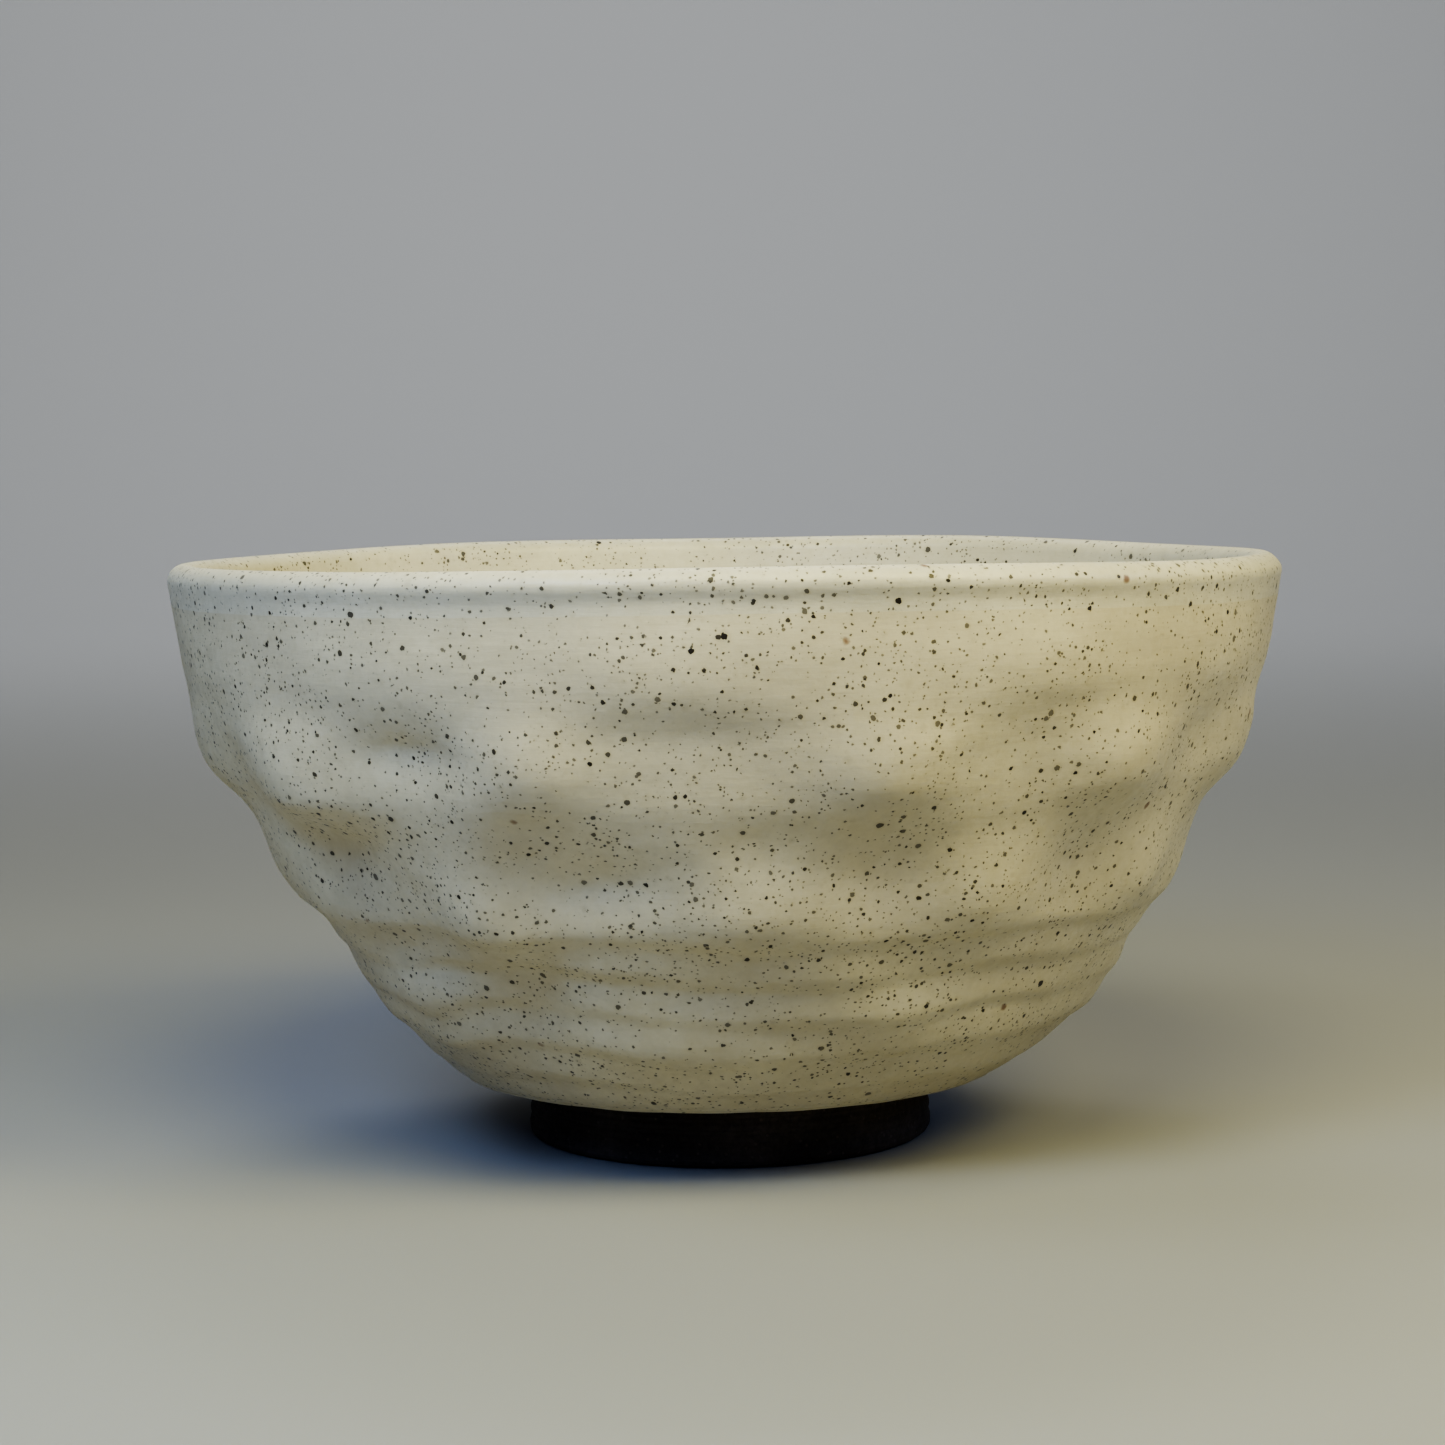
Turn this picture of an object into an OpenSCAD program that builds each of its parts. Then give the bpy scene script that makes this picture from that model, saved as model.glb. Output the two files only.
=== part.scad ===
// Wheel-thrown stoneware bowl, built in its own layers: the clay wall, the turned
// foot ring it stands on, and the glaze coats that cover the wall outside and inside.
// Millimetres. Z is up, and the origin is the middle of the foot's resting face.

/* [Bowl] */
// Diameter over the lip
rim_d = 150; // [140:1:160]
// Height from the table to the top of the lip
bowl_h = 79.5; // [76:0.5:86]
// Height at which the belly turns into the upright wall
shoulder_h = 58; // [55:0.5:60]
// Diameter of the wall at that height
shoulder_d = 143.9; // [140:0.1:145]
// How quickly the belly spreads above the foot, where 1 is a straight cone
belly_power = 0.66; // [0.6:0.01:0.75]

/* [Foot] */
// Diameter of the foot ring
foot_d = 55.2; // [50:0.2:60]
// Height of the foot ring
foot_h = 8.2; // [7:0.1:9]
// Thickness of the foot ring's wall
foot_wall = 5.8; // [4:0.1:8]
// Break on the foot ring's bottom edges
foot_break = 0.9; // [0.4:0.1:1.4]
// Width of bare clay between the foot ring and the edge of the glaze
bare_band = 6.4; // [5.5:0.1:8]

/* [Wall and lip] */
// Thickness of the rolled lip with its glaze
lip_t = 4.5; // [4:0.1:5.5]
// Thickness of the wall across the belly
belly_t = 5.6; // [5:0.1:7]
// Depth of the groove under the lip
groove_depth = 0.6; // [0.2:0.1:1]
// Height of the inside's lowest point above the table
floor_h = 13.5; // [13:0.5:16]

/* [Throwing rings] */
// Height of the broad rings left by the fingers, above and below the wall's line
ring_height = 0.62; // [0:0.02:0.8]
// Distance from one broad ring to the next
ring_pitch = 16.4; // [12:0.2:20]
// Height of the narrow rings low on the belly
turning_height = 0.24; // [0:0.02:0.3]
// Distance from one narrow ring to the next
turning_pitch = 5.3; // [4:0.1:7]

/* [Glaze] */
// Thickness of the glaze coat
glaze_t = 0.65; // [0.4:0.05:0.8]
// Thickness of the rounded roll where the glaze stops above the foot
roll_t = 1.9; // [1.7:0.1:2.2]

/* [Hidden] */
$fn = 180;

rim_r = rim_d / 2;
shoulder_r = shoulder_d / 2;
foot_r = foot_d / 2;
foot_inner_r = foot_r - foot_wall;
belly_start_r = foot_r + bare_band + 1.2;   // the glazed belly's lowest point
belly_start_h = foot_h + 0.8;
lip_r = lip_t / 2;
lip_h = bowl_h - lip_r;                     // middle of the rolled lip
lip_mid_r = rim_r - lip_r;
groove_h = bowl_h - 5.4;
groove_width = 1.5;
rings_end = shoulder_h + 10;                // the wall above is smooth
ring_crest = shoulder_h - 4.8;              // height of the fullest broad ring
turning_end = 37;                           // narrow rings are below this height only
turning_hollow = 23.7;                      // height of one hollow between narrow rings

// ---- the wall's outer line, radius by height ----

function blend(x, low, high) =
    let (t = min(1, max(0, (x - low) / (high - low)))) t * t * (3 - 2 * t);

// The smaller of two values, with the corner between them rounded off.
function rounded_min(a, b, corner) = min(a, b) - corner * ln(1 + exp(-abs(a - b) / corner));

function belly_r(h) = belly_start_r + (shoulder_r - belly_start_r)
    * pow(max(0, h - belly_start_h) / (shoulder_h - belly_start_h), belly_power);

function upright_r(h) = shoulder_r + (rim_r - shoulder_r) * (h - shoulder_h) / (lip_h - shoulder_h);

function plain_r(h) = rounded_min(belly_r(h), upright_r(h), 0.35);

function broad_rings(h) = ring_height * cos(360 * (h - ring_crest) / ring_pitch)
    * (1 - blend(h, shoulder_h, rings_end)) * blend(h, belly_start_h, belly_start_h + 6);

function narrow_rings(h) = -turning_height * cos(360 * (h - turning_hollow) / turning_pitch)
    * (1 - blend(h, turning_end - 4, turning_end)) * blend(h, belly_start_h, belly_start_h + 4);

function lip_groove(h) = -groove_depth * exp(-pow((h - groove_h) / groove_width, 2));

function outside_r(h) = plain_r(h) + broad_rings(h) + narrow_rings(h) + lip_groove(h);

// ---- the inner line: a shallow floor that turns up into the wall ----

function wall_across(h) = belly_t + (lip_t - belly_t) * blend(h, 44, 66);

function inside_r(h) = h <= floor_h ? 0
    : rounded_min(sqrt(290 * (h - floor_h)), plain_r(h) - wall_across(h), min(2.2, (h - floor_h) / 4));

// ---- both lines as points, with an inset into the wall; t runs from 0 at the bottom to 1 ----

function outside_at(t) =
    let (h = belly_start_h + (lip_h - belly_start_h) * pow(t, 1.3)) [outside_r(h), h];

function inside_at(t) = let (h = floor_h + (lip_h - floor_h) * t * t) [inside_r(h), h];

function outside_point(t, inset) =
    let (along = outside_at(t + 0.001) - outside_at(max(0, t - 0.001)))
    outside_at(t) + inset * [-along[1], along[0]] / norm(along);

function inside_point(t, inset) =
    let (along = inside_at(t + 0.001) - inside_at(max(0, t - 0.001)))
    inside_at(t) + inset * [along[1], -along[0]] / norm(along);

steps = 66;
glaze_start = 3;                            // steps at which the coats begin and meet
cap_outer = 63;
cap_inner = 63;

function outside_run(inset, from, to) = [for (i = [from:to]) outside_point(i / steps, inset)];
function inside_run(inset, from, to) = [for (i = [from:to]) inside_point(i / steps, inset)];
function lip_run(inset) =
    [for (a = [0:10:180]) [lip_mid_r, lip_h] + (lip_r - inset) * [cos(a), sin(a)]];
function reversed(list) = [for (i = [len(list) - 1:-1:0]) list[i]];

// ---- the pieces ----

// The thrown wall and floor. Its underside, inside the foot ring, is the roof of the foot's well.
module clay_wall() {
    color("#5c4f46")
        rotate_extrude() polygon(concat(
            [[0, foot_h], [foot_r + 0.8, foot_h]],
            outside_run(glaze_t, glaze_start, steps - 1),
            lip_run(glaze_t),
            reversed(inside_run(glaze_t, 1, steps - 1)),
            [[0, floor_h - glaze_t]]
        ));
}

// The ring the bowl stands on, turned from the same dark clay and left bare.
module foot_ring() {
    color("#4a3f38")
        rotate_extrude() polygon([
            [foot_inner_r + foot_break, 0],
            [foot_r - foot_break, 0],
            [foot_r - foot_break * 0.3, foot_break * 0.3],
            [foot_r, foot_break],
            [foot_r - 0.3, foot_h - 1],
            [foot_r + 0.5, foot_h],
            [foot_inner_r - 1.3, foot_h],
            [foot_inner_r - 0.4, foot_h - 1],
            [foot_inner_r, foot_break],
            [foot_inner_r + foot_break * 0.3, foot_break * 0.3]
        ]);
}

// The coat on the outside, from the roll above the foot up to the groove under the lip.
module outer_glaze() {
    color("#d9d3c2")
        rotate_extrude() polygon(concat(
            outside_run(0, glaze_start, cap_outer),
            reversed(outside_run(glaze_t, glaze_start, cap_outer))
        ));
}

// The thick rounded edge where the coat was wiped back from the foot. It sits on the
// clay's flat underside and closes the outer coat's lower edge.
module glaze_roll() {
    roll_r = roll_t / 2;
    edge = outside_point(glaze_start / steps, glaze_t);
    inward = [foot_r + 0.8, foot_h] - edge;
    along = inward / norm(inward);
    out = [-along[1], along[0]];
    middle = edge + along * sqrt(roll_r * roll_r - glaze_t * glaze_t);
    start = 180 - asin(glaze_t / roll_r);
    color("#cfc8b4")
        rotate_extrude() polygon(concat(
            [edge, outside_point(glaze_start / steps, 0)],
            [for (i = [1:12]) let (a = start * (1 - i / 12)) middle + roll_r * (along * cos(a) + out * sin(a))]
        ));
}

// The coat over the rolled lip, from the groove outside to just below the edge inside.
module lip_glaze() {
    color("#e6e2d6")
        rotate_extrude() polygon(concat(
            outside_run(0, cap_outer, steps - 1),
            lip_run(0),
            reversed(inside_run(0, cap_inner, steps - 1)),
            inside_run(glaze_t, cap_inner, steps - 1),
            reversed(lip_run(glaze_t)),
            reversed(outside_run(glaze_t, cap_outer, steps - 1))
        ));
}

// The liner coat on the inside, from the lip's coat down across the floor.
module inner_glaze() {
    color("#ddd6c3")
        rotate_extrude() polygon(concat(
            [[0, floor_h]],
            inside_run(0, 1, cap_inner),
            reversed(inside_run(glaze_t, 1, cap_inner)),
            [[0, floor_h - glaze_t]]
        ));
}

clay_wall();
foot_ring();
outer_glaze();
glaze_roll();
lip_glaze();
inner_glaze();
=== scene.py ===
import functools
import math
import random

import bmesh
import bpy
from mathutils import Matrix, Vector, noise


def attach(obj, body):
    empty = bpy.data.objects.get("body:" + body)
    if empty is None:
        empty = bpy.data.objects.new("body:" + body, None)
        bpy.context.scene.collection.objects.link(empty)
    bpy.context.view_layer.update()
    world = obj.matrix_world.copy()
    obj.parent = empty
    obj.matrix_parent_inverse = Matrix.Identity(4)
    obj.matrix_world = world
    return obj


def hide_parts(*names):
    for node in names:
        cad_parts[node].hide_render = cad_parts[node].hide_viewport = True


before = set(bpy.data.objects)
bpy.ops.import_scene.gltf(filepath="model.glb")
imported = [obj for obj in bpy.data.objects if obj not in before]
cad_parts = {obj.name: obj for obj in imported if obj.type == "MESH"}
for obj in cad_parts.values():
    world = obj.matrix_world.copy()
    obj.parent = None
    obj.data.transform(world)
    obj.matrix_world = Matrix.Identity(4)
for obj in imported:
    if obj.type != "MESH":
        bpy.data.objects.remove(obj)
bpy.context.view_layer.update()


# ---------------------------------------------------------------------------
# THE THROWN WALL. One ball of dark stoneware, opened and pulled up on the wheel into a
# flared belly and an upright rim, then pressed in all round with the fingertips while it
# was soft. Fired, it is dark brown-grey, and it shows only under the bowl.
# ---------------------------------------------------------------------------
# Meshes are shaped in millimetres, and each one is scaled to metres when it is finished.
# Angles go round the bowl in degrees, 0 at the front and 90 on the right.
rim_radius = 75.0
bowl_height = 79.5
shoulder_height = 58.0
shoulder_radius = 71.95
shoulder_corner = 0.35
belly_power = 0.66              # how quickly the belly spreads, where 1 is a straight cone
belly_start_radius = 35.2
belly_start_height = 9.0
belly_thickness = 5.6
upper_thinning = 1.1            # how much thinner the wall is towards the lip
foot_radius = 27.6
foot_height = 8.2
lip_radius = 2.25
lip_height = bowl_height - lip_radius
lip_middle = rim_radius - lip_radius
floor_height = 13.5
floor_curve = 290               # square millimetres of sweep for each millimetre of rise
glaze_thickness = 0.65


def eased(x, low, high):
    t = min(1.0, max(0.0, (x - low) / (high - low)))
    return t * t * (3 - 2 * t)


def rounded_min(a, b, corner):
    return min(a, b) - corner * math.log(1 + math.exp(-abs(a - b) / corner))


def outside_radius(h):
    climb = max(0.0, h - belly_start_height) / (shoulder_height - belly_start_height)
    belly = belly_start_radius + (shoulder_radius - belly_start_radius) * climb ** belly_power
    upright = shoulder_radius + (rim_radius - shoulder_radius) \
        * (h - shoulder_height) / (lip_height - shoulder_height)
    return rounded_min(belly, upright, shoulder_corner)


def inside_radius(h):
    if h <= floor_height:
        return 0.0
    thickness = belly_thickness - upper_thinning * eased(h, 44, 66)
    floor_line = math.sqrt(floor_curve * (h - floor_height))
    corner = min(2.2, (h - floor_height) / 4)
    return rounded_min(floor_line, outside_radius(h) - thickness, corner)


# Fingertip marks on the front: angle, height, half width in degrees, half height above and
# below the middle, and how far the clay stands out or (with a minus) is pressed in.
finger_marks = [
    # Ridges pinched up round the shoulder.
    (-80, 53.5, 9, 4.0, 3.2, 1.10), (-49, 52, 5.5, 5.0, 2.6, 2.60), (-20, 55.5, 4.4, 5.2, 3.4, 2.10),
    (-25, 49, 3.0, 4.0, 4.5, 1.15), (-29, 43, 2.8, 4.0, 4.0, 0.85), (15.5, 54.5, 4.2, 5.5, 2.8, 1.70),
    (43.5, 54, 4.8, 4.5, 2.8, 1.75), (72, 53.5, 6, 4.5, 4.0, 0.95),
    # Hollows between them.
    (-63, 54, 4.0, 5.0, 6.0, -1.00), (-33, 57, 5.5, 2.4, 3.0, -2.20), (-3, 58, 8.0, 3.2, 5.0, -1.75),
    (30, 57, 5.5, 3.6, 6.0, -1.60), (58, 57, 5.0, 3.2, 6.0, -1.80), (80, 59.5, 8, 3.0, 3.0, -0.50),
    # Hollows under the shoulder.
    (-80, 44.5, 8, 3.5, 3.5, -0.85), (-49, 43.5, 6.0, 2.4, 4.5, -2.20), (-14, 40.5, 6.5, 3.2, 2.6, -2.10),
    (5, 46, 4.0, 3.0, 4.0, -0.60), (17, 42, 4.8, 4.0, 3.4, -1.60), (44, 41.5, 4.8, 3.8, 3.6, -1.60),
    (76, 44.0, 8, 4.5, 4.5, -0.70),
    # Ridges at the middle of the belly, with two hollows beside the highest.
    (-80, 37, 8, 3.0, 3.0, 0.35), (-58, 36, 5, 5.0, 4.0, 0.90), (-41, 37, 4, 4.0, 4.0, -0.60),
    (-28.5, 36.5, 4.6, 3.6, 3.2, 2.50), (2, 37, 7.5, 3.6, 2.2, 1.40), (-10, 33, 4.0, 2.5, 3.0, -0.50),
    (31, 38, 5.0, 4.4, 2.8, 1.60), (57, 38.5, 4.6, 4.2, 3.0, 1.50), (80, 36, 8, 4.0, 4.0, 0.80),
    # Shallow presses low on the belly.
    (-80, 29.5, 9, 4.0, 4.0, -1.20), (-46, 29.5, 6, 2.4, 3.0, -1.05), (-27, 28, 4.5, 3.2, 4.0, -1.70),
    (-33, 22, 6, 3.6, 4.0, -1.10), (-4, 26.5, 6, 2.2, 3.0, -0.80), (12, 30, 5, 2.4, 2.4, 0.60),
    (24, 29, 5, 2.4, 2.6, -0.60), (39, 26, 6, 3.0, 4.0, -0.60), (60, 22, 8, 4.0, 5.0, -0.60),
    (80, 29, 8, 3.0, 3.0, -0.35), (-48, 25, 5, 3.0, 2.2, 1.15), (-47, 18.5, 6, 3.0, 2.4, 0.90),
    (-11, 19, 6, 2.6, 2.0, 0.65), (23, 23.5, 6, 3.0, 2.6, 0.90), (46, 14, 8, 4.0, 4.0, 0.50),
    (80, 21, 9, 5.0, 5.0, 0.70), (4, 15, 5, 2.4, 2.0, 0.45),
    # Faint swells on the upright wall.
    (-33, 67, 8, 4.0, 3.0, 0.60), (-59, 65, 6, 4.0, 4.0, 0.45), (-8, 67, 7, 4.0, 3.0, 0.45),
    (33, 67, 8, 4.0, 3.0, 0.45), (57, 67, 7, 4.0, 3.0, 0.45),
]

# The same hand went on round the back, in rows of six ridges with a hollow after each one.
# A row is its height, the angle at which it starts, and how far its ridges stand out.
ridge_step = 30
hollow_step = 15
hand = random.Random(7)
for row_height, row_start, rise in ((55, 105, 1.40), (37, 92, 1.25), (21, 108, 0.70)):
    for k in range(6):
        around = row_start + ridge_step * k + hand.uniform(-4, 4)
        finger_marks.append((around, row_height + hand.uniform(-2, 2), hand.uniform(4.5, 6.5),
                             hand.uniform(4, 5.5), hand.uniform(2.4, 3.6), rise * hand.uniform(0.7, 1.3)))
        finger_marks.append((around + hollow_step, row_height + hand.uniform(-1, 4), hand.uniform(5, 7.5),
                             hand.uniform(3, 4.5), hand.uniform(4.5, 6), -rise * hand.uniform(0.6, 1.1)))


# The marks that reach into each ten degrees of the bowl, so that a place tries only those.
marks_near = [[mark for mark in finger_marks
               if abs((10 * k + 5 - mark[0] + 180) % 360 - 180) < 3 * mark[2] + 5]
              for k in range(36)]


def pressed(angle, h):
    """How far the finger marks move the clay out at one place."""
    rise = 0.0
    for around, high, wide, above, below, out in marks_near[int(angle % 360 // 10)]:
        up = (h - high) / (above if h > high else below)
        if -3 < up < 3:
            across = ((angle - around + 180) % 360 - 180) / wide
            rise += out * math.exp(-0.5 * (across * across + up * up))
    return rise


@functools.lru_cache(maxsize=None)
def swing(angle, seed):
    a = math.radians(angle)
    return noise.noise(Vector((1.3 * math.cos(a), 1.3 * math.sin(a), seed))) * 1.6


def wandering(angle, seed):
    """A slow swing between about -1 and 1 round the bowl that meets itself."""
    return swing(round(angle, 1), seed)


@functools.lru_cache(maxsize=None)
def quick_swing(angle, seed):
    a = math.radians(angle)
    return noise.noise(Vector((3.4 * math.cos(a), 3.4 * math.sin(a), seed))) * 1.8


def ripple(angle, seed):
    """A quicker swing, which crosses zero every 20 degrees or so."""
    return quick_swing(round(angle, 1), seed)


def ring_shape(turn):
    """A throwing ring: steep on its underside and gentle above."""
    return math.cos(turn) - 0.18 * math.sin(2 * turn)


broad_crest = 53.2
broad_pitch = 16.4
broad_rise = 0.22
narrow_crest = 24.7
narrow_pitch = 5.3
narrow_rise = 0.21
thumb_groove_height = 75.2
thumb_groove_depth = 0.58
right_swell = 0.30


def broad_ring(angle, h):
    """The wide rings of the first pulls, up to just over the shoulder."""
    wander = 0.9 * wandering(angle, 3.0)
    turn = 2 * math.pi * (h - broad_crest - wander) / broad_pitch
    return broad_rise * ring_shape(turn) * (1 - eased(h, shoulder_height, 68)) * eased(h, 9, 15)


def narrow_ring(angle, h):
    """The close rings low on the belly, uneven in height and fainter at the sides."""
    wander = 0.8 * wandering(angle, 8.0) + 0.6 * ripple(angle, 6.0)
    turn = 2 * math.pi * (h - narrow_crest - wander) / narrow_pitch
    which = round((h - narrow_crest) / narrow_pitch)
    rise = narrow_rise + 0.11 * ripple(angle, 5.0 + which)
    at_sides = 0.8 + 0.2 * math.cos(2 * math.radians(angle))
    return rise * at_sides * ring_shape(turn) * (1 - eased(h, 33, 39)) * eased(h, 9, 13)


def thrown(angle, h):
    """How far the outside stands out from the plain curve at one place."""
    a = math.radians(angle)
    rise = broad_ring(angle, h) + narrow_ring(angle, h) + pressed(angle, h)
    # The thumb's groove under the lip is deepest at the front and back.
    off_groove = (h - thumb_groove_height) / (1.7 if h > thumb_groove_height else 3.6)
    rise -= thumb_groove_depth * math.cos(a) ** 2 * math.exp(-off_groove * off_groove)
    # The upper wall swells a little on the right.
    rise += right_swell * max(0.0, math.sin(a)) * eased(h, 62, 68) * (1 - eased(h, 77, 79))
    uneven = noise.noise(Vector((9 * math.cos(a), 9 * math.sin(a), h / 3.2)))
    return rise + 0.10 * uneven * eased(h, 9, 12)


spiral_pitch = 6.5
spiral_rise = 0.22
felt_inside = 0.45              # share of a press from outside that shows inside


def inside_marks(angle, h):
    """Inside, the fingers left one rising spiral, and the presses from outside show faintly."""
    spiral = 2 * math.pi * h / spiral_pitch - math.radians(angle)
    rise = spiral_rise * math.cos(spiral) * (1 - eased(h, 62, 74)) * eased(h, 14, 20)
    return rise - felt_inside * pressed(angle, h) * eased(h, 20, 30) * (1 - eased(h, 64, 72))


# One row of a turned outline is its place, the way out of the clay, the height that its marks
# are taken from, the share of them that it takes, and the side of the wall that it is on.
short_step = 0.02


def outside_row(h, inset):
    low = max(belly_start_height, h - short_step)
    high = h + short_step
    along = Vector((outside_radius(high) - outside_radius(low), high - low))
    out = Vector((along.y, -along.x)).normalized()
    return (Vector((outside_radius(h), h)) - out * inset, out, h, 1.0, "out")


def inside_row(h, inset):
    low = max(floor_height, h - short_step)
    high = h + short_step
    along = Vector((inside_radius(high) - inside_radius(low), high - low))
    out = Vector((-along.y, along.x)).normalized()
    return (Vector((inside_radius(h), h)) - out * inset, out, h, 1.0, "in")


def plain_row(radius, h):
    return (Vector((radius, h)), Vector((0.0, 0.0)), h, 0.0, "plain")


def spread(low, high, count, power=1.0):
    """Values from low to high, and closer together near low where the power is over 1."""
    return [low + (high - low) * (i / count) ** power for i in range(count + 1)]


def lip_rows(inset, count):
    """The half round of the lip, whose outer side takes the wall's marks and fades them out."""
    rows = []
    for i in range(count + 1):
        a = math.pi * i / count
        out = Vector((math.cos(a), math.sin(a)))
        height = lip_height + lip_radius * math.sin(a)
        share = max(0.0, math.cos(a))
        place = Vector((lip_middle, lip_height)) + out * (lip_radius - inset)
        rows.append((place, out, height, share, "out"))
    return rows


row_layers = ("out_r", "out_h", "height", "share", "inner")


def turned(rows, turns, closed=True, finish=None):
    """Spins an outline once round the upright axis, then lays the hand marks on it."""
    bm = bmesh.new()
    out_r, out_h, height, share, inner = [bm.verts.layers.float.new(name) for name in row_layers]
    verts = []
    for point, out, h, marks, face in rows:
        v = bm.verts.new((0, -point.x, point.y))
        v[out_r] = out.x
        v[out_h] = out.y
        v[height] = h
        v[share] = marks
        v[inner] = 1.0 if face == "in" else 0.0
        verts.append(v)
    edges = [bm.edges.new(pair) for pair in zip(verts, verts[1:])]
    if closed:
        edges.append(bm.edges.new((verts[-1], verts[0])))
    # One quarter is spun, and three copies of it close the round.
    bmesh.ops.spin(bm, geom=verts + edges, cent=(0, 0, 0), axis=(0, 0, 1),
                   angle=math.pi / 2, steps=turns // 4)
    quarter = bm.verts[:] + bm.edges[:] + bm.faces[:]
    for k in (1, 2, 3):
        copied = bmesh.ops.duplicate(bm, geom=quarter)["geom"]
        bmesh.ops.rotate(bm, verts=[v for v in copied if isinstance(v, bmesh.types.BMVert)],
                         cent=(0, 0, 0), matrix=Matrix.Rotation(k * math.pi / 2, 3, "Z"))
    bmesh.ops.remove_doubles(bm, verts=bm.verts, dist=0.001)
    for v in bm.verts:
        radius = math.hypot(v.co.x, v.co.y)
        angle = math.degrees(math.atan2(v.co.x, -v.co.y))
        rise = 0.0
        if v[share] > 0:
            marks = inside_marks if v[inner] > 0.5 else thrown
            rise = v[share] * marks(angle, v[height])
        if finish:
            rise += finish(angle, v[height])
        a = math.radians(angle)
        radius += v[out_r] * rise
        v.co = Vector((radius * math.sin(a), -radius * math.cos(a), v.co.z + v[out_h] * rise))
        v.co += settled(angle, v.co.z)
    bmesh.ops.recalc_face_normals(bm, faces=bm.faces)
    return bm


rim_dip = 0.4
rim_wave = 0.25
rim_ripple = 0.12
belly_lean = 0.8
out_of_round = 0.25


def settled(angle, h):
    """The whole wall leans and sags a little: the rim dips at its sides and waves, and the low
    belly sits a little to the right of the foot."""
    a = math.radians(angle)
    dip = rim_dip * (math.cos(2 * a) - 1) + rim_wave * wandering(angle, 12.0) \
        + rim_ripple * math.sin(5 * a + 1)
    lean = belly_lean * eased(h, 9, 14) * (1 - eased(h, 24, 44))
    oval = out_of_round * wandering(angle, 20.0) * eased(h, 10, 40)
    return Vector((lean + oval * math.sin(a), -oval * math.cos(a), dip * eased(h, 45, 78)))


sharp_corner = math.radians(50)


def made(name, bm, material, stands_for):
    """Scales a finished mesh to metres and puts it in the frame."""
    for edge in bm.edges:
        edge.smooth = not (edge.is_manifold and edge.calc_face_angle() > sharp_corner)
    for face in bm.faces:
        face.smooth = True
    bmesh.ops.scale(bm, vec=(0.001, 0.001, 0.001), verts=bm.verts)
    mesh = bpy.data.meshes.new(name)
    bm.to_mesh(mesh)
    bm.free()
    for layer in row_layers:
        mesh.attributes.remove(mesh.attributes[layer])
    mesh.materials.append(material)
    obj = bpy.data.objects.new(name, mesh)
    bpy.context.scene.collection.objects.link(obj)
    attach(obj, "root")
    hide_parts(stands_for)
    return obj


class Recipe:
    """A material being mixed: each call adds one node and wires it."""

    def __init__(self, name):
        self.material = bpy.data.materials.new(name)
        self.material.use_nodes = True
        self.tree = self.material.node_tree
        self.surface = self.tree.nodes["Principled BSDF"]
        self.place = self.tree.nodes.new("ShaderNodeTexCoord").outputs["Object"]

    def set(self, socket, value):
        if isinstance(value, bpy.types.NodeSocket):
            self.tree.links.new(value, socket)
        else:
            socket.default_value = value

    def add(self, kind, values, output=0, **settings):
        node = self.tree.nodes.new(kind)
        for key, value in settings.items():
            setattr(node, key, value)
        for key, value in values.items():
            self.set(node.inputs[key], value)
        return node.outputs[output]

    def math(self, operation, a, b=0.0, c=0.0, clamp=False):
        return self.add("ShaderNodeMath", {0: a, 1: b, 2: c}, operation=operation, use_clamp=clamp)

    def cloud(self, size_mm, detail=2.0, rough=0.5, vector=None, output=0):
        values = {"Vector": vector or self.place, "Scale": 1000 / size_mm,
                  "Detail": detail, "Roughness": rough}
        return self.add("ShaderNodeTexNoise", values, output=output)

    def between(self, value, low, high, to_low=0.0, to_high=1.0):
        values = {"Value": value, "From Min": low, "From Max": high, "To Min": to_low, "To Max": to_high}
        return self.add("ShaderNodeMapRange", values, interpolation_type="SMOOTHSTEP")

    def parts(self, value, kind="ShaderNodeSeparateXYZ"):
        node = self.tree.nodes.new(kind)
        self.set(node.inputs[0], value)
        return node.outputs

    def blend(self, amount, a, b):
        node = self.tree.nodes.new("ShaderNodeMix")
        node.data_type = "RGBA"
        self.set(node.inputs["Factor"], amount)
        self.set(node.inputs["A"], a)
        self.set(node.inputs["B"], b)
        return node.outputs["Result"]

    def bumps(self, height, depth_mm, under=None):
        values = {"Height": height, "Distance": depth_mm / 1000, "Strength": 1.0}
        if under:
            values["Normal"] = under
        return self.add("ShaderNodeBump", values)

    def done(self, colour, roughness, normal, shine):
        self.set(self.surface.inputs["Base Color"], colour)
        self.set(self.surface.inputs["Roughness"], roughness)
        self.set(self.surface.inputs["Normal"], normal)
        self.surface.inputs["Specular IOR Level"].default_value = shine
        return self.material


grog_colour = (0.24, 0.19, 0.15, 1)
grog_spacing = 1.3
tool_line_spacing = 0.75


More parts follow.
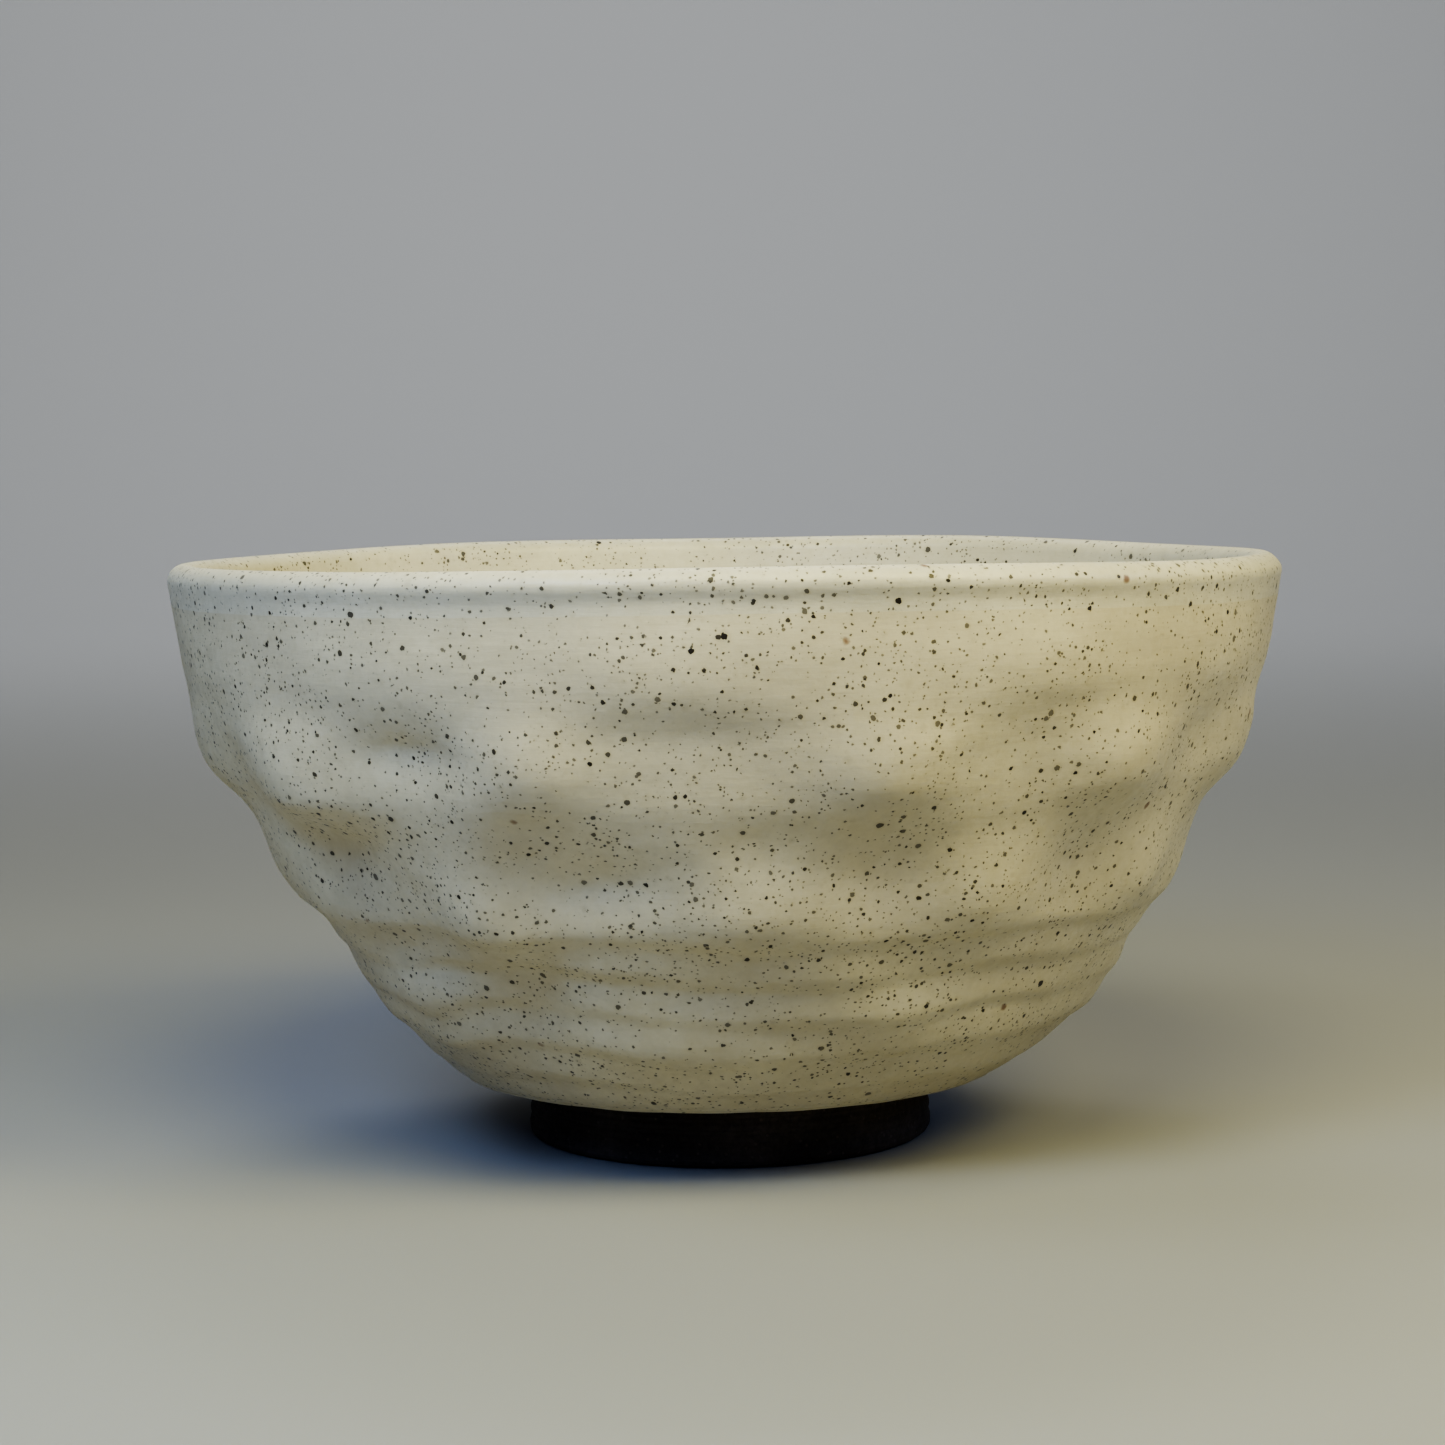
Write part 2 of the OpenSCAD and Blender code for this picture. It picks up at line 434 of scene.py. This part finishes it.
def fired_clay(name, dark, light, line_depth):
    """Bare stoneware: dark iron-bearing clay with pale grog grains and the turning tool's lines."""
    mix = Recipe(name)
    broad = mix.cloud(14, 3)
    fine = mix.cloud(0.9, 3, 0.7)
    pores = (dark[0] * 0.45, dark[1] * 0.45, dark[2] * 0.45, 1)
    colour = mix.blend(mix.between(broad, 0.35, 0.65), dark + (1,), light + (1,))
    colour = mix.blend(mix.between(fine, 0.3, 0.75, 0.0, 0.45), colour, pores)
    grog = mix.add("ShaderNodeTexVoronoi", {"Vector": mix.place, "Scale": 1000 / grog_spacing})
    grains = mix.between(grog, 0.10, 0.22, 1.0, 0.0)
    colour = mix.blend(mix.math("MULTIPLY", grains, 0.28), colour, grog_colour)

    # The lines are rings about the upright axis, on walls and on flat faces alike.
    x, y, z = mix.parts(mix.place)
    radius = mix.math("SQRT", mix.math("ADD", mix.math("MULTIPLY", x, x), mix.math("MULTIPLY", y, y)))
    across = mix.math("ADD", radius, z)
    uneven = mix.math("MULTIPLY", mix.cloud(6, 2), 0.0006)
    turns = mix.math("MULTIPLY", mix.math("ADD", across, uneven), 2000 * math.pi / tool_line_spacing)
    normal = mix.bumps(mix.math("SINE", turns), line_depth)
    normal = mix.bumps(fine, 0.10, normal)
    normal = mix.bumps(grains, 0.05, normal)
    return mix.done(colour, mix.between(fine, 0.3, 0.7, 0.78, 0.92), normal, 0.3)


wall_dark = (0.060, 0.044, 0.034)
wall_light = (0.105, 0.080, 0.062)
clay = fired_clay("fired_dark_clay", wall_dark, wall_light, 0.02)

clay_turns = 300
under_foot_edge = foot_radius + 0.8
glaze_low = belly_start_height + 0.55
under_lip = lip_height - 0.3
clay_rows = [plain_row(radius, foot_height) for radius in (0.0, 10.0, 20.0, under_foot_edge)]
clay_rows += [outside_row(h, glaze_thickness) for h in spread(glaze_low, under_lip, 96, 1.25)]
clay_rows += lip_rows(glaze_thickness, 12)[1:-1]
clay_rows += [inside_row(h, glaze_thickness)
              for h in reversed(spread(floor_height, under_lip, 60, 2.0)[1:])]
clay_rows += [plain_row(0.0, floor_height - glaze_thickness)]
made("thrown_clay_wall", turned(clay_rows, clay_turns, closed=False), clay, "clay_wall")


# ---------------------------------------------------------------------------
# THE FOOT RING. Turned from the same leather-hard clay with a loop tool, then left bare so
# that the bowl didn't stick to the kiln shelf. Its edges are broken with a sponge.
# ---------------------------------------------------------------------------
foot_thickness = 5.8
foot_inside = foot_radius - foot_thickness
foot_break = 0.9
outside_taper = 0.35
inside_taper = 0.4
rib_depth = 0.10
rib_pitch = 1.7
rib_top = foot_height - 1.0
foot_turns = 300


def tool_chatter(angle, h):
    a = math.radians(angle)
    chatter = noise.noise(Vector((14 * math.cos(a), 14 * math.sin(a), h / 1.5)))
    return 0.05 * chatter + 0.08 * wandering(angle, 31.0 + h / 9)


def foot_row(radius, h, out_r, out_h):
    return (Vector((radius, h)), Vector((out_r, out_h)).normalized(), h, 0.0, "plain")


def broken_edge(middle_radius, start_angle):
    """A quarter round along the ring's bottom, where the sponge took the sharp edge off."""
    rows = []
    for i in range(9):
        a = math.radians(start_angle + 90 * i / 8)
        rows.append(foot_row(middle_radius + foot_break * math.cos(a), foot_break + foot_break * math.sin(a),
                             math.cos(a), math.sin(a)))
    return rows


foot_rows = broken_edge(foot_radius - foot_break, -90)
for h in spread(foot_break + 0.4, rib_top, 14)[1:]:
    rib = rib_depth * math.cos(2 * math.pi * h / rib_pitch)
    foot_rows.append(foot_row(foot_radius - outside_taper * h / foot_height + rib, h, 1, 0))
foot_rows += [foot_row(foot_radius + 0.1, foot_height - 0.4, 1, 0),
              foot_row(foot_radius + 0.6, foot_height + 0.1, 1, -1),
              foot_row(foot_inside - 1.4, foot_height + 0.1, -1, -1),
              foot_row(foot_inside - 0.7, foot_height - 0.5, -1, 0)]
for h in reversed(spread(foot_break, rib_top, 10)):
    foot_rows.append(foot_row(foot_inside - inside_taper * h / foot_height, h, -1, 0))
foot_rows += broken_edge(foot_inside + foot_break, 180)[1:]
for radius in spread(foot_inside + foot_break, foot_radius - foot_break, 12)[1:-1]:
    scratch = 0.05 + 0.04 * math.cos(2 * math.pi * radius / 1.1)
    foot_rows.append(foot_row(radius, scratch, 0, -0.001))

foot_dark = (0.055, 0.043, 0.036)
foot_light = (0.100, 0.079, 0.066)
bare_clay = fired_clay("bare_turned_clay", foot_dark, foot_light, 0.035)
made("turned_foot_ring", turned(foot_rows, foot_turns, finish=tool_chatter), bare_clay,
     "foot_ring")


# ---------------------------------------------------------------------------
# THE OUTSIDE GLAZE. A satin cream coat, poured over the wall. Iron in the clay bled through
# it as specks of all sizes, each in a faint brown halo, with a few rust-brown burns.
# ---------------------------------------------------------------------------
# Iron specks, from rare blots to fine dust: spacing, radius, share of places, and darkness.
iron_specks = ((3.6, 0.50, 0.58, 1.00), (1.9, 0.38, 0.80, 1.00),
               (1.15, 0.27, 0.92, 0.95), (0.70, 0.19, 0.95, 0.80))
speck_edge = 0.05
iron_colour = (0.022, 0.016, 0.011, 1)
halo_colour = (0.30, 0.24, 0.13, 1)
burn_colour = (0.16, 0.055, 0.016, 1)
burn_spacing = 13.0


def speckled_glaze(name, cream, shade, speck_share=1.0):
    mix = Recipe(name)
    # A speck's outline is ragged, because the place that it is drawn at is shaken a little.
    shake = mix.add("ShaderNodeVectorMath", {0: mix.cloud(0.55, 2, 0.6, output=1), 1: (0.5, 0.5, 0.5)},
                    operation="SUBTRACT")
    shake = mix.add("ShaderNodeVectorMath", {0: shake, "Scale": 0.00042}, operation="SCALE")
    ragged = mix.add("ShaderNodeVectorMath", {0: mix.place, 1: shake}, operation="ADD")

    # The coat's own colour: broad warm and cool drifts, and a fine mottle.
    brown_shade = (shade[0] * 0.80, shade[1] * 0.78, shade[2] * 0.70, 1)
    colour = mix.blend(mix.between(mix.cloud(22, 3), 0.35, 0.68), cream + (1,), shade + (1,))
    mottle = mix.between(mix.cloud(2.2, 4, 0.65), 0.3, 0.75, 0.0, 0.30)
    colour = mix.blend(mottle, colour, brown_shade)

    # Specks gather in some places, and each has a faint brown halo.
    gather = mix.between(mix.cloud(9, 2), 0.32, 0.68, 0.35, 1.45)
    iron = 0.0
    halos = 0.0
    for spacing, radius, share, darkness in iron_specks:
        cells = mix.tree.nodes.new("ShaderNodeTexVoronoi")
        mix.set(cells.inputs["Vector"], ragged)
        cells.inputs["Scale"].default_value = 1000 / spacing
        away = cells.outputs["Distance"]
        lot_size, lot_place, lot_dark = mix.parts(cells.outputs["Color"], "ShaderNodeSeparateColor")
        size = mix.math("MULTIPLY_ADD", lot_size, 0.55 * radius / spacing, 0.45 * radius / spacing)
        inside = mix.math("DIVIDE", mix.math("SUBTRACT", size, away), speck_edge / spacing, clamp=True)
        there = mix.math("LESS_THAN", lot_place, mix.math("MULTIPLY", gather, share * speck_share))
        dark = mix.math("MULTIPLY_ADD", lot_dark, 0.35 * darkness, 0.65 * darkness)
        iron = mix.math("MAXIMUM", mix.math("MULTIPLY", mix.math("MULTIPLY", inside, there), dark), iron)
        halo = mix.math("SUBTRACT", mix.math("MULTIPLY", size, 1.9), away)
        halo = mix.math("MULTIPLY", mix.math("DIVIDE", halo, 0.30 / spacing, clamp=True), there)
        halos = mix.math("MAXIMUM", mix.math("MULTIPLY", halo, 0.5), halos)
    colour = mix.blend(mix.math("MULTIPLY", halos, 0.32), colour, halo_colour)
    colour = mix.blend(iron, colour, iron_colour)

    # A few rust-brown burns where a coarser iron grain melted.
    burns = mix.add("ShaderNodeTexVoronoi", {"Vector": ragged, "Scale": 1000 / burn_spacing})
    colour = mix.blend(mix.between(burns, 0.020, 0.055, 0.75, 0.0), colour, burn_colour)

    # Satin skin: faint wheel lines under the glaze, a soft orange peel, and specks a hair proud.
    flat = mix.add("ShaderNodeMapping", {"Vector": mix.place, "Scale": (0.12, 0.12, 1.0)})
    normal = mix.bumps(mix.cloud(0.9, 3, 0.6, vector=flat), 0.055)
    normal = mix.bumps(mix.cloud(1.6, 3, 0.55), 0.05, normal)
    normal = mix.bumps(iron, 0.025, normal)
    roughness = mix.between(mix.cloud(1.1, 3, 0.6), 0.3, 0.7, 0.38, 0.50)
    return mix.done(colour, roughness, normal, 0.45)


cream = (0.670, 0.612, 0.450)
cream_shade = (0.595, 0.540, 0.400)
cream_glaze = speckled_glaze("speckled_cream_glaze", cream, cream_shade)
coats_meet = bowl_height - 5.4
outside_turns = 560
front_rows = [outside_row(h, 0.0) for h in spread(glaze_low, coats_meet, 126, 1.12)]
back_rows = [outside_row(h, glaze_thickness) for h in reversed(spread(glaze_low, coats_meet, 46, 1.12))]
made("outer_glaze_coat", turned(front_rows + back_rows, outside_turns), cream_glaze,
     "outer_glaze")


# ---------------------------------------------------------------------------
# THE GLAZE'S ROLLED EDGE. The coat was wiped back from the foot with a sponge before
# firing, and its edge drew up into a thick rounded roll that wanders a little.
# ---------------------------------------------------------------------------
roll_radius = 0.95
roll_turns = 480


def drawn_up(angle, h):
    a = math.radians(angle)
    beads = noise.noise(Vector((7 * math.cos(a), 7 * math.sin(a), 2.0)))
    return 0.16 * wandering(angle, 44.0) + 0.10 * beads


clay_edge = outside_row(glaze_low, glaze_thickness)[0]
glaze_edge = outside_row(glaze_low, 0.0)[0]
inward = (Vector((under_foot_edge, foot_height)) - clay_edge).normalized()
outward = Vector((-inward.y, inward.x))
roll_middle = clay_edge + inward * math.sqrt(roll_radius ** 2 - glaze_thickness ** 2)
roll_rows = [plain_row(clay_edge.x, clay_edge.y + 0.15), plain_row(glaze_edge.x, glaze_edge.y + 0.12)]
roll_start = math.pi - math.asin(glaze_thickness / roll_radius)
for i in range(1, 15):
    a = roll_start * (1 - i / 14)
    out = inward * math.cos(a) + outward * math.sin(a)
    roll_rows.append((roll_middle + out * roll_radius, out, glaze_low, 0.0, "plain"))

thick_cream = (0.600, 0.545, 0.395)
thick_shade = (0.520, 0.475, 0.350)
thick_glaze = speckled_glaze("thick_cream_glaze", thick_cream, thick_shade, speck_share=0.6)
made("wiped_glaze_roll", turned(roll_rows, roll_turns, finish=drawn_up), thick_glaze,
     "glaze_roll")


# ---------------------------------------------------------------------------
# THE LIP'S GLAZE. The same coat over the rolled lip, from the groove outside to just below
# the edge inside. It ran thin there, so it is a little paler.
# ---------------------------------------------------------------------------
liner_top = 71.6
lip_start = lip_height - 0.25
lip_turns = 560
lip_front = [outside_row(h, 0.0) for h in spread(coats_meet, lip_start, 10)]
lip_front += lip_rows(0.0, 22)[1:-1]
lip_front += [inside_row(h, 0.0) for h in reversed(spread(liner_top, lip_start, 10))]
lip_back = [inside_row(h, glaze_thickness) for h in spread(liner_top, lip_start, 8)]
lip_back += reversed(lip_rows(glaze_thickness, 12)[1:-1])
lip_back += [outside_row(h, glaze_thickness) for h in reversed(spread(coats_meet, lip_start, 8))]

thin_cream = (0.680, 0.640, 0.510)
thin_shade = (0.610, 0.575, 0.460)
lip_glaze = speckled_glaze("thin_lip_glaze", thin_cream, thin_shade, speck_share=0.9)
made("lip_glaze_cap", turned(lip_front + lip_back, lip_turns), lip_glaze, "lip_glaze")


# ---------------------------------------------------------------------------
# THE LINER. The inside was glazed first, by swirling the same cream glaze round it and
# pouring it out.
# ---------------------------------------------------------------------------
liner_turns = 480
liner_rows = [plain_row(0.0, floor_height)]
liner_rows += [inside_row(h, 0.0) for h in spread(floor_height, liner_top, 110, 1.9)[1:]]
liner_rows += [inside_row(h, glaze_thickness)
               for h in reversed(spread(floor_height, liner_top, 44, 1.9)[1:])]
liner_rows += [plain_row(0.0, floor_height - glaze_thickness)]

liner_cream = (0.650, 0.595, 0.440)
liner_shade = (0.570, 0.525, 0.395)
liner_glaze = speckled_glaze("cream_liner_glaze", liner_cream, liner_shade, speck_share=0.9)
made("inner_glaze_liner", turned(liner_rows, liner_turns, closed=False), liner_glaze,
     "inner_glaze")


# ---------------------------------------------------------------------------
# THE TABLE AND THE STUDIO. A plain pale floor that curves up all round, warm lamps above and
# to the right, cool daylight from the left, a little cool fill from the right and the front,
# and a camera just above the height of the rim. Lengths here are metres.
# ---------------------------------------------------------------------------
floor_level = -0.0002           # a hair under the foot, so that the two don't share a surface
floor_reach = 1.4
cove_radius = 0.6
backdrop_height = 1.6
cove_steps = 12

sweep = bmesh.new()
corners = [sweep.verts.new((0, 0, floor_level)), sweep.verts.new((0, -floor_reach, floor_level))]
for i in range(1, cove_steps + 1):
    a = math.pi / 2 * i / cove_steps
    corners.append(sweep.verts.new((0, -floor_reach - cove_radius * math.sin(a),
                                    cove_radius - cove_radius * math.cos(a))))
corners.append(sweep.verts.new((0, -floor_reach - cove_radius, backdrop_height)))
sweep_edges = [sweep.edges.new(pair) for pair in zip(corners, corners[1:])]
bmesh.ops.spin(sweep, geom=corners + sweep_edges, cent=(0, 0, 0), axis=(0, 0, 1), angle=2 * math.pi,
               steps=96, use_merge=True)
bmesh.ops.remove_doubles(sweep, verts=sweep.verts, dist=0.0001)
for face in sweep.faces:
    face.smooth = True
floor_mesh = bpy.data.meshes.new("studio_floor")
sweep.to_mesh(floor_mesh)
sweep.free()
paper = bpy.data.materials.new("pale_paper")
paper.use_nodes = True
paper_surface = paper.node_tree.nodes["Principled BSDF"]
paper_surface.inputs["Base Color"].default_value = (0.33, 0.33, 0.33, 1)
paper_surface.inputs["Roughness"].default_value = 0.9
floor_mesh.materials.append(paper)
studio_floor = bpy.data.objects.new("studio_floor", floor_mesh)
bpy.context.scene.collection.objects.link(studio_floor)

bowl_middle = (0, 0, 0.06)


def soft_light(name, place, target, size, watts, colour):
    lamp = bpy.data.lights.new(name, "AREA")
    lamp.shape = "DISK"
    lamp.size = size
    lamp.energy = watts
    lamp.color = colour
    aim = (Vector(place) - Vector(target)).to_track_quat("Z", "Y").to_matrix().to_4x4()
    obj = bpy.data.objects.new(name, lamp)
    obj.matrix_world = Matrix.Translation(place) @ aim
    obj.visible_camera = False
    bpy.context.scene.collection.objects.link(obj)


soft_light("overhead", (0.0, -0.30, 0.42), bowl_middle, 0.22, 1.12, (1.0, 0.93, 0.42))
soft_light("lamp_right", (0.28, -0.27, 0.39), bowl_middle, 0.22, 1.34, (1.0, 0.87, 0.33))
soft_light("window_left", (-0.16, -0.28, 0.27), bowl_middle, 0.13, 0.62, (0.38, 0.56, 1.0))
soft_light("sky_left", (-0.22, -0.10, 0.34), bowl_middle, 0.15, 0.20, (0.78, 0.90, 1.0))
soft_light("fill_right", (0.42, -0.10, 0.25), bowl_middle, 0.18, 0.36, (0.40, 0.56, 1.0))
soft_light("low_fill", (-0.10, -0.60, 0.20), bowl_middle, 0.20, 0.20, (0.38, 0.50, 1.0))
soft_light("room_behind", (-0.30, 0.90, 1.30), (0.0, 1.6, 0), 1.00, 4.0, (0.92, 0.96, 1.0))
soft_light("backdrop", (0.0, 1.20, 1.50), (0, 2.0, 0.5), 0.80, 16.0, (0.95, 0.97, 1.0))

world = bpy.data.worlds.new("soft_room")
world.use_nodes = True
room_glow = world.node_tree.nodes["Background"]
room_glow.inputs["Color"].default_value = (0.70, 0.84, 1.0, 1)
room_glow.inputs["Strength"].default_value = 0.04
bpy.context.scene.world = world
bpy.context.scene.view_settings.look = "AgX - High Contrast"

eye_place = (-0.00034, -0.440, 0.0922)
eye_down = 4.716                # degrees below level
eye_roll = -0.754
eye = bpy.data.cameras.new("camera")
eye.lens = 80.25
eye.sensor_width = 36.0
eye.clip_start = 0.02
eye.clip_end = 20.0
camera = bpy.data.objects.new("camera", eye)
camera.matrix_world = Matrix.Translation(eye_place) \
    @ Matrix.Rotation(math.radians(90 - eye_down), 4, "X") \
    @ Matrix.Rotation(math.radians(eye_roll), 4, "Z")
bpy.context.scene.collection.objects.link(camera)
bpy.context.scene.camera = camera
